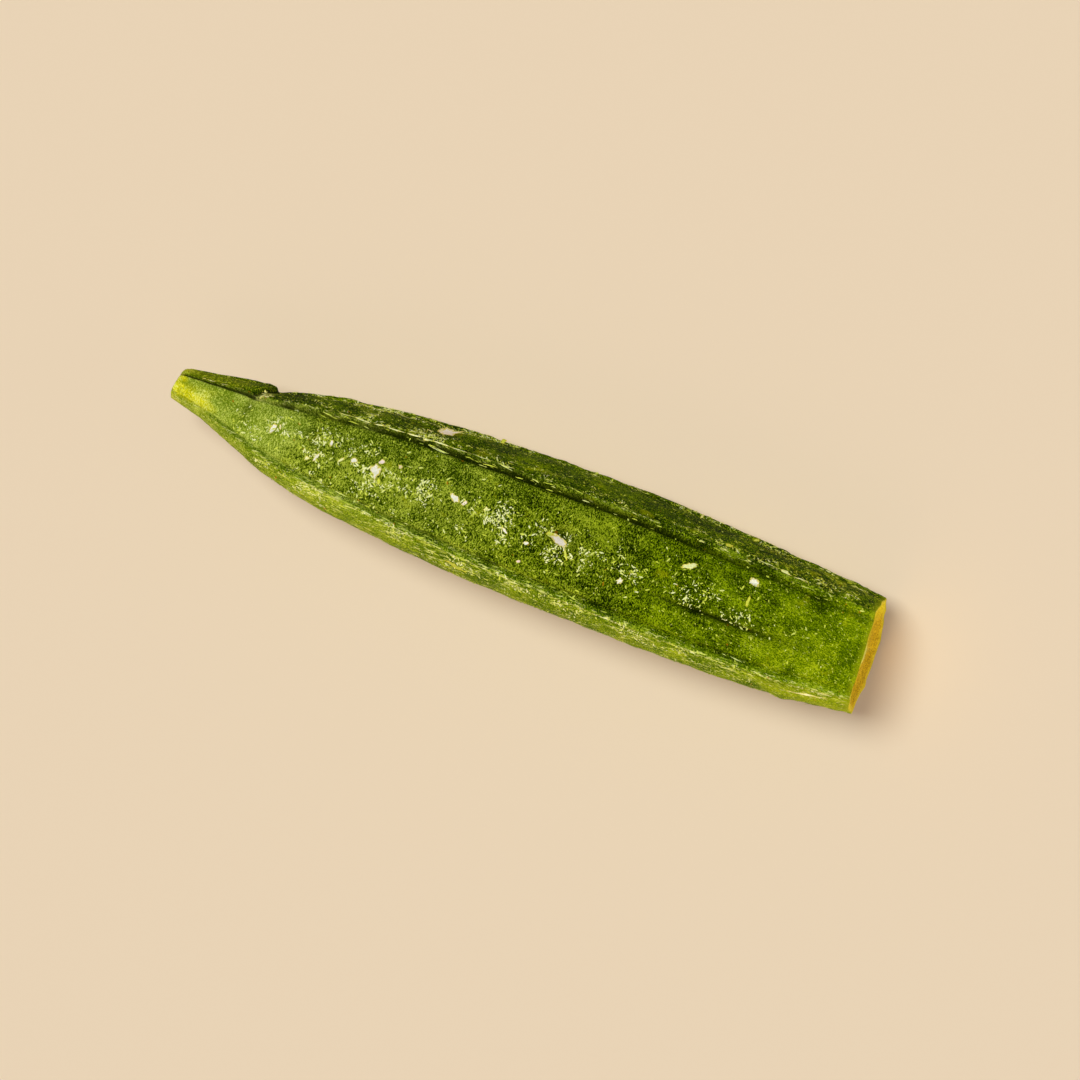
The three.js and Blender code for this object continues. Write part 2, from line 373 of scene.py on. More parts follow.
def broad_shadows(at):
    """Painted shadow beside the long crease, and in the hollow before it."""
    before = 0.34 * bell((at.s - 46.5) / 2.4) * bell((from_line(at, shadow_theta) + 1.2) / 1.5)
    beside = 0.26 * bell((at.s - 65) / 11) * bell(from_line(at, shadow_theta) / 1.3)
    return before + beside * (at.face == broad_face)


# how crowded the slivers are down the broad face: how much, s, reach
sliver_crowds = [(0.95, 19, 7), (0.4, 29, 5), (0.68, 41, 9), (0.4, 66, 2)]


def lifted_skin(at):
    """How thickly slivers have lifted, from 0 to 1: in clumps, and least on the hidden faces."""
    s, gap = at.s, at.gap
    clumps = 0.8 * grain(s * 0.55, at.arc * 0.7, 18) + 0.9 * grain(s * 1.9, at.arc * 2.1, 25)
    crowded = 0.4 + sum(much * bell((s - place) / reach) for much, place, reach in sliver_crowds)
    down_middle = bell(from_line(at, slivers_theta) / 2.3) * crowded
    down_middle = down_middle * rise(s, 7, 11) * (1 - 0.9 * rise(s, 62, 72))
    by_crest = (0.34 + 1.0 * bell((s - 25) / 9)) * rise(s, 10, 16) * (1 - 0.9 * rise(gap, 1.0, 3.6))
    by_crest += 0.9 * bell((s - 74.6) / 1.9) * bell((gap - 1.8) / 1.1)
    by_lime_ridge = (0.26 + 0.6 * (at.ridge == lime_ridge) * bell(gap / 2.4)) * rise(s, 6, 16)
    by_lime_ridge = by_lime_ridge * (1 - 0.5 * rise(s, 56, 70))
    shown = [at.face == broad_face, at.face == front_face, at.face == lime_face]
    lifting = np.select(shown, [down_middle, by_crest, by_lime_ridge], 0.1)
    in_crease = bell(from_line(at, shadow_theta) / 0.55 - 1) * bell((s - crease_s) / 7)
    return np.clip(lifting * (1 - 0.9 * in_crease) * (0.04 + 0.96 * rise(clumps, -0.04, 0.6)) + 0.008, 0, 1)


def streaked_ribs(at):
    """How thickly long slivers lie beside the ribs, from 0 to 1."""
    on_lime = (at.ridge == lime_ridge) & (at.face == lime_face)
    beside = np.where(on_lime, bell(at.gap / 2.0), bell(at.gap / 0.4))
    beside = beside * np.select([at.ridge == crest, at.ridge == lime_ridge], [0.3, 0.8], 0.5)
    broken = 0.3 + 0.7 * rise(grain(at.s * 0.25, at.ridge * 3.3, 19), -0.4, 0.5)
    return np.clip(beside * rise(at.s, 8, 16) * broken, 0, 1)


def lemon_tip(at):
    """The yellow patch at the tip, and the yellow edge of its cut."""
    patch = 1 - rise(at.s + 1.5 * grain(at.s * 0.7, at.theta * 0.05, 26), 2.8, 5.6)
    edge = 1 - rise(at.s + 0.7 * grain(at.theta * 0.11, 3.5, 27), 0.7, 1.6)
    lemon = np.maximum(patch * bell((at.theta - 96) / 24), edge)
    return lemon * np.where(at.face == broad_face, 1, 0.35)


def skin(s, theta):
    """Where the skin is at s and theta, and the marks it has there, each from 0 to 1; the furrow mark is
    painted shade.
    """
    at = locate(s, theta)
    dent, hollow = dented(at)
    fold, tear, bare_lip = torn_fold(at)
    crease = long_crease(at)
    radius = flattened(at) + ribs_and_furrows(at) + seed_swellings(at) + dent + fold + dried_wall(at)
    radius -= crease_depth * crease + pleat_depth * pleats(at)
    places = trimmed(at, radius)

    # painted shade: the furrow mark darkens the furrows, the long crease, the fold's tear, the dents'
    # hollows and beside the crease
    furrow = furrow_shade(at) + 0.9 * crease + 0.8 * tear + 0.5 * hollow + broad_shadows(at)
    edge = rise(at.gap, 0, 0.5) * 0.5 + 0.5
    on_broad, on_lime = at.face == broad_face, at.face == lime_face
    off_table = rise(places[..., 2] + axis_height, 0.6, 1.8)
    marks = {
        "furrow": np.clip(furrow, 0, 1),
        "rib": bell(at.gap / 0.42) * np.clip(rib_strength(at), 0, 1.5) / 1.5,
        "along": at.s / pod_length,
        "front": np.where(at.face == front_face, edge, (1 - edge) * on_broad),
        "broad": edge * on_broad,
        "back": np.where(on_lime, edge, (1 - edge) * (on_broad & (at.ridge == lime_ridge))),
        "torn": bare_lip,
        "lifting": lifted_skin(at) * (1 - rise(at.s, 77, 78.6)) * off_table,
        "streaky": streaked_ribs(at) * (1 - rise(at.s, 76, 78.4)) * off_table,
        "lemon": lemon_tip(at),
    }
    return places, marks


# the skin is a grid: a row round the pod at each station, and a column for each point in a row
stations = np.unique(np.concatenate([np.linspace(*stretch) for stretch in stretches]))
corners = [along(places, stations)[:, None] for places in ridges]
corners.append(corners[0] + 360)
angles = np.concatenate([corners[k] + (corners[k + 1] - corners[k]) * np.arange(points) / points
                         for k, points in enumerate(points_on_face)], 1)
rows, per_row = angles.shape
station_grid = np.repeat(stations[:, None], per_row, 1)
body, marks = skin(station_grid.ravel(), angles.ravel())
around = np.arange(per_row)
beside = (around + 1) % per_row


def band(row, next_row, towards_stem=True):
    """The quads between two rows of points, facing outwards."""
    quad = (row, row[beside], next_row[beside], next_row)
    return np.stack(quad if towards_stem else quad[::-1], 1)


verts = [body]
quads = [band(row * per_row + around, (row + 1) * per_row + around) for row in range(rows - 1)]
insets = [np.zeros(len(body))]
septa = [np.zeros(len(body))]


def close_end(row, rings, inward, sink):
    """Fills a cut with rings, drawn in from its rim and sunk by sink mm; gives the last ring."""
    rim = body.reshape(rows, per_row, 3)[row]
    rim_angle = np.degrees(np.arctan2(rim[:, 2], -rim[:, 1]))
    middle = locate(station_grid[row], angles[row]).middle
    outer = row * per_row + around
    for ring in rings:
        points = rim.mean(0) + (rim - rim.mean(0)) * ring
        points[:, 0] += inward * sink(ring, middle, rim_angle)
        inner = sum(len(v) for v in verts) + around
        quads.append(band(outer, inner, inward > 0))
        verts.append(points)
        insets.append(np.full(per_row, 1 - ring))
        septa.append(bell(middle * ring / septum_width))
        outer = inner
    return outer


def tip_sink(ring, middle, angle):
    return tip_sunk * rise(1 - ring, 0, 0.6) + 0.05 * grain(angle * 0.1, ring * 6, 20)


def stem_sink(ring, middle, angle):
    """The flesh has dried back from its rim, and most in the five seed chambers."""
    dish = dish_depth * rise(1 - ring, 0.035, 0.3)
    locule = locule_depth * bell((ring - 0.55) / 0.2) * (1 - middle ** 2)
    fibres = 0.07 * grain(angle * 0.35, ring * 3, 21) * rise(1 - ring, 0.02, 0.1)
    ripple = 0.05 * grain(angle * 0.1, ring * 14, 22)
    return dish + locule + fibres + ripple - core_rise * bell(ring / 0.22)


tip_core = close_end(0, tip_rings, -1, tip_sink)
stem_core = close_end(rows - 1, stem_rings, 1, stem_sink)
points = np.concatenate(verts)
box_middle = (body.min(0) + body.max(0)) / 2
to_frame = np.array([-box_middle[0], -box_middle[1], axis_height])
polygons = np.concatenate(quads).tolist() + [tip_core[::-1].tolist(), stem_core.tolist()]
pod_mesh = bpy.data.meshes.new("pod")
pod_mesh.from_pydata((points + to_frame) * mm, [], polygons)
pod_mesh.validate()


def store(mesh, name, values):
    """Keeps one value for each point on the mesh, for its material."""
    layer = mesh.attributes.new(name, "FLOAT", "POINT")
    layer.data.foreach_set("value", values.astype(np.float32))


for name, values in marks.items():
    store(pod_mesh, name, np.pad(values, (0, len(points) - len(values))))
store(pod_mesh, "inset", np.concatenate(insets))
store(pod_mesh, "septum", np.concatenate(septa))

# the faces are in order: the skin's, the rings of the tip cut and of the stem-end cut, and a core each
skin_slot, stem_slot, tip_slot = 0, 1, 2
face_counts = [(rows - 1) * per_row, len(tip_rings) * per_row, len(stem_rings) * per_row, 1, 1]
finish_slots = np.repeat([skin_slot, tip_slot, stem_slot, tip_slot, stem_slot], face_counts)
pod_mesh.polygons.foreach_set("material_index", finish_slots.astype(np.int32))
pod_mesh.polygons.foreach_set("use_smooth", np.ones(len(polygons), bool))
pod = bpy.data.objects.new("pod", pod_mesh)
scene.collection.objects.link(pod)


def add(tree, kind, inputs=None, **settings):
    """A new node; each input is another node's socket, which is linked to it, or a plain value."""
    node = tree.nodes.new(kind)
    for name, value in settings.items():
        setattr(node, name, value)
    for name, value in (inputs or {}).items():
        if isinstance(value, bpy.types.NodeSocket):
            tree.links.new(value, node.inputs[name])
        else:
            node.inputs[name].default_value = value
    return node


def maths(how, a, b, clamp=False):
    return add(a.id_data, "ShaderNodeMath", {0: a, 1: b}, operation=how, use_clamp=clamp).outputs[0]


def times(a, b):
    return maths("MULTIPLY", a, b)


def plus(first, *others):
    for other in others:
        first = maths("ADD", first, other)
    return first


def about(noise, mean, weight):
    """Noise as a change either way: how far it is from its mean, times weight."""
    return times(maths("SUBTRACT", noise, mean), weight)


def between(value, start, end, low=0.0, high=1.0):
    """A smooth step from low, where value is start, to high, where it is end."""
    inputs = {"Value": value, "From Min": start, "From Max": end, "To Min": low, "To Max": high}
    return add(value.id_data, "ShaderNodeMapRange", inputs, interpolation_type="SMOOTHSTEP").outputs[0]


def blend(share, a, b):
    """Colour a, turning to b where share is 1."""
    return add(share.id_data, "ShaderNodeMix", {0: share, 6: a, 7: b}, data_type="RGBA").outputs[2]


def mark(tree, name):
    return add(tree, "ShaderNodeAttribute", attribute_name=name).outputs["Fac"]


def speckle(tree, size, stretch=(1, 1, 1), turned=0, detail=2.0, rough=0.5):
    """Noise with bumps of about size mm, turned by that many degrees and drawn out by stretch."""
    place = add(tree, "ShaderNodeTexCoord").outputs["Object"]
    rotation = (0, 0, math.radians(turned))
    place = add(tree, "ShaderNodeMapping", {"Vector": place, "Rotation": rotation}).outputs[0]
    squeeze = tuple(1 / v for v in stretch)
    place = add(tree, "ShaderNodeMapping", {"Vector": place, "Scale": squeeze}).outputs[0]
    inputs = {"Vector": place, "Scale": 1 / (size * mm), "Detail": detail, "Roughness": rough}
    return add(tree, "ShaderNodeTexNoise", inputs).outputs[0]


def paint(red, green, blue):
    """A finish's colour, from the 0 to 255 scale of a paint chart."""
    shares = [v / 255 for v in (red, green, blue)]
    return tuple(((v + 0.055) / 1.055) ** 2.4 if v > 0.04045 else v / 12.92 for v in shares) + (1,)


def roughen(shader, height, strength, depth_mm):
    """Bump on a finish, from a height pattern."""
    tree = shader.id_data
    inputs = {"Height": height, "Strength": strength, "Distance": depth_mm * mm}
    tree.links.new(add(tree, "ShaderNodeBump", inputs).outputs[0], shader.inputs["Normal"])


# the skin: each part of it has a deep green in its pores, its own green, and a pale one on its felt
pod_skin, shader = new_finish("pod_skin", specular=0.01)
tree = pod_skin.node_tree
length_share = mark(tree, "along")
furrow, rib = mark(tree, "furrow"), mark(tree, "rib")
front, back, broad = mark(tree, "front"), mark(tree, "back"), mark(tree, "broad")
clouds = speckle(tree, 5.0, detail=3)
mottle = speckle(tree, 1.3, stretch=(1.5, 1, 1), detail=4, rough=0.65)
felt = speckle(tree, 0.13, detail=2, rough=0.6)
hatch = maths("MAXIMUM", speckle(tree, 0.11, stretch=(3.2, 1, 1), turned=62, detail=1),
              speckle(tree, 0.11, stretch=(3.2, 1, 1), turned=-64, detail=1))
fibres = speckle(tree, 0.12, stretch=(2.2, 1, 1), turned=5, detail=2)
streaks = speckle(tree, 0.26, stretch=(3.8, 1, 1), detail=4, rough=0.7)
greens = [paint(50, 72, 0), paint(98, 124, 2), paint(166, 182, 36)]


def cover(share, *shades):
    """Lays one part's deep, own and pale greens over those of the parts before it."""
    for depth, shade in enumerate(shades):
        greens[depth] = blend(share, greens[depth], paint(*shade))


# the places are shares of the pod's length, from its tip, with a wandering edge
how_far = plus(length_share, times(clouds, 0.25))
cover(broad, (118, 138, 20), (174, 188, 60), (224, 229, 106))
cover(times(broad, between(how_far, 0.27, 0.35)), (40, 58, 0), (120, 138, 18), (190, 198, 64))
cover(times(broad, between(how_far, 0.54, 0.66)), (20, 34, 0), (100, 120, 2), (180, 190, 44))
cover(times(broad, between(how_far, 0.74, 0.86)), (20, 34, 0), (86, 107, 0), (156, 174, 14))
cover(times(broad, between(how_far, 0.98, 1.08)), (66, 88, 0), (116, 138, 0), (182, 194, 22))
cover(front, (20, 36, 0), (62, 88, 0), (142, 166, 10))
cover(times(front, between(how_far, 0.26, 0.18)), (64, 84, 0), (116, 136, 2), (178, 188, 28))
cover(times(front, between(how_far, 0.2, 0.1)), (84, 100, 0), (134, 148, 6), (200, 204, 50))
cover(back, (84, 110, 0), (138, 164, 16), (206, 214, 60))
cover(times(back, between(how_far, 0.34, 0.2)), (100, 122, 10), (148, 168, 34), (208, 214, 80))
cover(times(back, between(how_far, 0.42, 0.58)), (62, 90, 0), (114, 142, 0), (190, 202, 40))
cover(times(back, between(how_far, 0.96, 1.06)), (104, 126, 0), (144, 164, 4), (196, 204, 36))
cover(mark(tree, "lemon"), (204, 196, 12), (246, 234, 40), (255, 252, 130))

# crossed hairs towards the tip, and lengthwise fibres at the stem end
at_stem = between(how_far, 0.84, 1.0)
felted = plus(about(hatch, 0.565, 3.5), about(felt, 0.5, 2.2))
felted = times(felted, between(length_share, 0.02, 0.17, 0.85, 1.05))
combed = plus(about(fibres, 0.5, 1.7), about(felt, 0.5, 2.4))
grown = add(tree, "ShaderNodeMix", {0: at_stem, 2: felted, 3: combed}).outputs[0]
blotches = plus(about(mottle, 0.5, 1.7), about(clouds, 0.5, 1.2))
paleness = maths("ADD", plus(grown, blotches), 0.46, clamp=True)
skin_tone = blend(between(paleness, 0.0, 0.5), greens[0], greens[1])
skin_tone = blend(between(paleness, 0.5, 1.0), skin_tone, greens[2])
yellowed = between(speckle(tree, 2.6, detail=4, rough=0.65), 0.60, 0.70)
skin_tone = blend(times(yellowed, 0.35), skin_tone, paint(186, 186, 10))

# pale long streaks on the ribs and on the lime side
on_ribs = plus(times(rib, 0.7), times(back, 0.42))
pale_line = between(plus(streaks, times(on_ribs, 0.22)), 0.685, 0.715)
skin_tone = blend(times(pale_line, 0.9), skin_tone, paint(250, 248, 136))

# tiny pale flecks where the outer skin has lifted, and a few rust-coloured specks
likely = plus(times(mark(tree, "lifting"), 0.09), times(at_stem, 0.05), times(front, 0.046))
likely = plus(likely, between(length_share, 0.2, 0.05, 0.0, 0.07))
fleck = speckle(tree, 0.24, stretch=(1.6, 1, 1), turned=40, detail=2, rough=0.6)
fleck = between(plus(fleck, likely), 0.69, 0.73)
fleck_tone = blend(front, paint(228, 232, 84), paint(222, 228, 56))
skin_tone = blend(times(fleck, 0.85), skin_tone, fleck_tone)
rust = between(speckle(tree, 0.55, detail=0), 0.83, 0.87)
skin_tone = blend(times(rust, 0.7), skin_tone, paint(196, 120, 16))

# yellowed skin at the stem-end cut, painted shade in the furrows, creases, tear and dents, and the bare lip
# of the torn fold
skin_tone = blend(between(length_share, 0.99, 1.0, 0, 0.5), skin_tone, paint(178, 184, 18))
# painted shade: a near-black green where the furrow mark is strong
skin_tone = blend(times(furrow, 0.93), skin_tone, paint(20, 28, 0))
torn = times(mark(tree, "torn"), between(felt, 0.40, 0.52))
skin_tone = blend(torn, skin_tone, paint(226, 222, 120))
tree.links.new(skin_tone, shader.inputs["Base Color"])
tree.links.new(between(mottle, 0.3, 0.7, 0.5, 0.7), shader.inputs["Roughness"])
shader.inputs["Specular Tint"].default_value = (0.75, 0.85, 0.3, 1)
relief = plus(times(grown, 0.35), times(fleck, 0.3), times(pale_line, 0.3))
roughen(shader, relief, strength=0.9, depth_mm=0.18)

# the stem-end cut: ochre flesh, browner low down and towards the back, with a pale pith in the
# middle, five pale walls running out from it, and a yellow rim that is greener at its edge
stem_cut, shader = new_finish("stem_cut", roughness=0.7, specular=0.1)
tree = stem_cut.node_tree
inset = mark(tree, "inset")
fibre = speckle(tree, 0.15, detail=2, rough=0.7)
clouds = speckle(tree, 1.8, stretch=(1, 2.5, 1), detail=3)
place = add(tree, "ShaderNodeSeparateXYZ", {0: add(tree, "ShaderNodeTexCoord").outputs["Object"]})
height = plus(place.outputs["Z"], about(clouds, 0.5, 0.003))
height = maths("SUBTRACT", height, times(place.outputs["Y"], 0.35))
dried = between(height, 0.0072, 0.0046)
deep = blend(dried, paint(216, 184, 0), paint(182, 142, 0))
light = blend(dried, paint(254, 240, 50), paint(240, 204, 30))
flesh = blend(between(fibre, 0.35, 0.65), deep, light)
ragged_inset = plus(inset, about(fibre, 0.5, 0.25))
septum = times(mark(tree, "septum"), between(ragged_inset, 0.15, 0.4, 0.0, 0.4))
flesh = blend(septum, flesh, paint(252, 236, 90))
flesh = blend(between(ragged_inset, 0.72, 0.9, 0.0, 0.85), flesh, paint(255, 252, 130))
flesh = blend(between(inset, 0.14, 0.07, 0, 0.5), flesh, paint(244, 226, 50))
flesh = blend(between(inset, 0.04, 0.0, 0, 0.85), flesh, paint(196, 196, 20))
tree.links.new(flesh, shader.inputs["Base Color"])
roughen(shader, fibre, strength=0.8, depth_mm=0.15)

# the tip cut: pale yellow, and finely fibrous
tip_cut, shader = new_finish("tip_cut", roughness=0.6)
tree = tip_cut.node_tree
fibre = speckle(tree, 0.3, detail=3)
flesh = blend(between(fibre, 0.35, 0.65), paint(196, 186, 60), paint(236, 228, 150))
tree.links.new(flesh, shader.inputs["Base Color"])
roughen(shader, fibre, strength=0.7, depth_mm=0.1)

for finish in (pod_skin, stem_cut, tip_cut):
    pod_mesh.materials.append(finish)
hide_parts("okra_pod")
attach(pod, "root")

# ---- Slivers ----
# Thousands of tiny slivers of the pod's outer skin have dried, lifted and curled. The loose
# ones lie every way on the faces, in clumps; longer ones lie lengthwise beside the ribs.
blade_points_along, blade_points_across = 6, 3
blade_curl, blade_taper = 0.10, 0.75  # shares of its length and of its width
blade_lift = 0.05
tear_size, tear_reach = 0.125, 0.14
lengthwise_swing, most_tilt = 0.16, 0.12  # radians
mm2_in_m2 = 1e6

# pale and pinkish when fresh, then yellow, lime and green with age, and ochre at a worn rim
dry_skin, shader = new_finish("dry_skin", roughness=0.7, specular=0.2)
tree = dry_skin.node_tree
aged = mark(tree, "aged")
worn = speckle(tree, 0.22, detail=3, rough=0.7)
sliver_tone = blend(between(aged, -0.2, 0.1), paint(255, 246, 228), paint(254, 251, 184))
sliver_tone = blend(between(aged, 0.15, 0.7), sliver_tone, paint(220, 226, 66))
sliver_tone = blend(between(aged, 0.8, 1.1), sliver_tone, paint(146, 168, 16))
sliver_tone = blend(between(worn, 0.45, 0.65, 0, 0.4), sliver_tone, paint(210, 212, 110))
sliver_tone = blend(mark(tree, "blush"), sliver_tone, paint(255, 218, 206))
worn_rim = plus(mark(tree, "rim"), about(worn, 0.5, 1.6))
sliver_tone = blend(between(worn_rim, 0.66, 0.86, 0, 0.85), sliver_tone, paint(226, 206, 50))
tree.links.new(sliver_tone, shader.inputs["Base Color"])
roughen(shader, worn, strength=0.9, depth_mm=0.12)


def carried(tree, name):
    """A mark of the pod's mesh, for the slivers that stand on it."""
    return add(tree, "GeometryNodeInputNamedAttribute", {"Name": name}, data_type="FLOAT").outputs[0]


def chance(tree, low, high, seed):
    """A random number for each sliver."""
    inputs = {2: low, 3: high, "Seed": seed}
    return add(tree, "FunctionNodeRandomValue", inputs, data_type="FLOAT").outputs[1]


def vector(tree, x, y, z):
    return add(tree, "ShaderNodeCombineXYZ", {"X": x, "Y": y, "Z": z}).outputs[0]


def blade(tree, length, width):
    """One sliver, narrower towards both ends, which curl up."""
    grid = add(tree, "GeometryNodeMeshGrid",
               {"Size X": length, "Size Y": width,
                "Vertices X": blade_points_along, "Vertices Y": blade_points_across})
    place = add(tree, "ShaderNodeSeparateXYZ", {0: add(tree, "GeometryNodeInputPosition").outputs[0]})
    share = maths("DIVIDE", place.outputs["X"], length)
    bend = times(times(share, share), 4)
    narrowing = times(times(place.outputs["Y"], bend), -blade_taper)
    lift = maths("ADD", times(bend, times(length, blade_curl)), blade_lift * mm)
    inputs = {"Geometry": grid.outputs[0], "Offset": vector(tree, 0.0, narrowing, lift)}
    return add(tree, "GeometryNodeSetPosition", inputs).outputs[0]


def facing(tree, rotation, lengthwise, seed):
    """How each sliver lies on the skin: turned at random, or nearly along the pod."""
    swing = math.pi
    if lengthwise:
        swing = lengthwise_swing
        inputs = {"Rotation": rotation, "Vector": (1, 0, 0)}
        aligned = add(tree, "FunctionNodeAlignRotationToVector", inputs, axis="X", pivot_axis="Z")
        rotation = aligned.outputs[0]
    angle = chance(tree, -swing, swing, seed + 1)
    tilt = chance(tree, -most_tilt, most_tilt, seed + 2)
    turn = add(tree, "FunctionNodeEulerToRotation", {0: vector(tree, 0.0, tilt, angle)}).outputs[0]
    inputs = {0: rotation, 1: turn}
    return add(tree, "FunctionNodeRotateRotation", inputs, rotation_space="LOCAL").outputs[0]


def growth(tree, seed):
    """How many times as long and as wide as usual each sliver is; a few are much bigger."""
    bigger = maths("POWER", chance(tree, 0.0, 1.0, seed + 3), 4.0)
    longer = maths("ADD", times(bigger, 2.0), 0.7)
    wider = plus(times(bigger, 1.2), chance(tree, 0.6, 1.5, seed + 5))
    return vector(tree, longer, wider, 1.0)


def age(tree, seed):
    """How aged each sliver is: more on the front and back faces, and where few have lifted."""
    own = times(chance(tree, 0.0, 1.0, seed + 4), 0.7)
    from_face = plus(times(carried(tree, "front"), 0.15), times(carried(tree, "back"), 0.12))
    return plus(own, from_face, between(carried(tree, "lifting"), 0.4, 0.02, 0.0, 0.35))


def torn_edges(tree, geometry):
    """Moves each point of the slivers a little, so that their edges are ragged."""
    noise = add(tree, "ShaderNodeTexNoise", {"Scale": 1 / (tear_size * mm), "Detail": 1.0})
    inputs = {0: noise.outputs["Color"], 1: (-0.5, -0.5, -0.5)}
    either_way = add(tree, "ShaderNodeVectorMath", inputs, operation="ADD").outputs[0]
    inputs = {0: either_way, "Scale": tear_reach * mm}
    offset = add(tree, "ShaderNodeVectorMath", inputs, operation="SCALE").outputs[0]
    return add(tree, "GeometryNodeSetPosition", {"Geometry": geometry, "Offset": offset}).outputs[0]


def sliver_rule(tree, given, where, lengthwise, seed):
    """Scatters slivers on the given mesh, as thickly as its mark called where says."""
    density = times(times(carried(tree, where), given["Slivers per mm2"]), mm2_in_m2)
    spread = add(tree, "GeometryNodeDistributePointsOnFaces",
                 {"Mesh": given["Geometry"], "Density": density, "Seed": seed}).outputs
    sliver = blade(tree, times(given["Length mm"], mm), times(given["Width mm"], mm))
    copies = add(tree, "GeometryNodeInstanceOnPoints",
                 {"Points": spread["Points"], "Instance": sliver, "Scale": growth(tree, seed),
                  "Rotation": facing(tree, spread["Rotation"], lengthwise, seed)})
    dated = add(tree, "GeometryNodeStoreNamedAttribute",
                {"Geometry": copies.outputs[0], "Name": "aged", "Value": age(tree, seed)},
                data_type="FLOAT", domain="INSTANCE")
    real = add(tree, "GeometryNodeRealizeInstances", {0: dated.outputs[0]})
    smooth = add(tree, "GeometryNodeSetShadeSmooth", {0: torn_edges(tree, real.outputs[0])})
    inputs = {"Geometry": smooth.outputs[0], "Material": dry_skin}
    return add(tree, "GeometryNodeSetMaterial", inputs).outputs[0]


def grown_on_pod(name, tree, settings):
    """What the rule makes of the pod, as a plain mesh."""
    carrier = bpy.data.objects.new(name + "_carrier", pod_mesh)
    scene.collection.objects.link(carrier)
    modifier = carrier.modifiers.new("scatter", "NODES")
    modifier.node_group = tree
    for identifier, value in settings.items():
        modifier[identifier] = value
    carrier.update_tag()
    depsgraph = bpy.context.evaluated_depsgraph_get()
    mesh = bpy.data.meshes.new_from_object(carrier.evaluated_get(depsgraph))
    bpy.data.objects.remove(carrier)
    mesh.name = name
    return mesh


def scatter(name, where, per_mm2, length, width, lengthwise, seed):
    """Slivers on the pod's skin, as one piece."""
    tree = bpy.data.node_groups.new(name, "GeometryNodeTree")
    tree.interface.new_socket("Geometry", in_out="INPUT", socket_type="NodeSocketGeometry")
    settings = {}
    for label, value in (("Slivers per mm2", per_mm2), ("Length mm", length), ("Width mm", width)):
        socket = tree.interface.new_socket(label, in_out="INPUT", socket_type="NodeSocketFloat")
        socket.default_value = value
        settings[socket.identifier] = value
    tree.interface.new_socket("Geometry", in_out="OUTPUT", socket_type="NodeSocketGeometry")
    given = add(tree, "NodeGroupInput").outputs
    slivers = sliver_rule(tree, given, where, lengthwise, seed)
    add(tree, "NodeGroupOutput", {0: slivers})

    piece = bpy.data.objects.new(name, grown_on_pod(name, tree, settings))
    scene.collection.objects.link(piece)
    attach(piece, "root")


scatter("loose_slivers", where="lifting", per_mm2=29.0, length=0.21, width=0.075, lengthwise=False, seed=11)
scatter("rib_slivers", where="streaky", per_mm2=7.0, length=0.6, width=0.055, lengthwise=True, seed=31)

# ---- Flakes ----
# Larger flakes of the same dried skin. Each clings at its middle and curls up at its ragged
# edge; on the front face its lower edge stands out too. The narrowest are threads on the crest.
flake_rings = np.array([0.0, 0.35, 0.65, 0.88, 1.0])
flake_spokes = 24
flake_points = 1 + (len(flake_rings) - 1) * flake_spokes
cling_height = 0.06
front_lean = 0.3

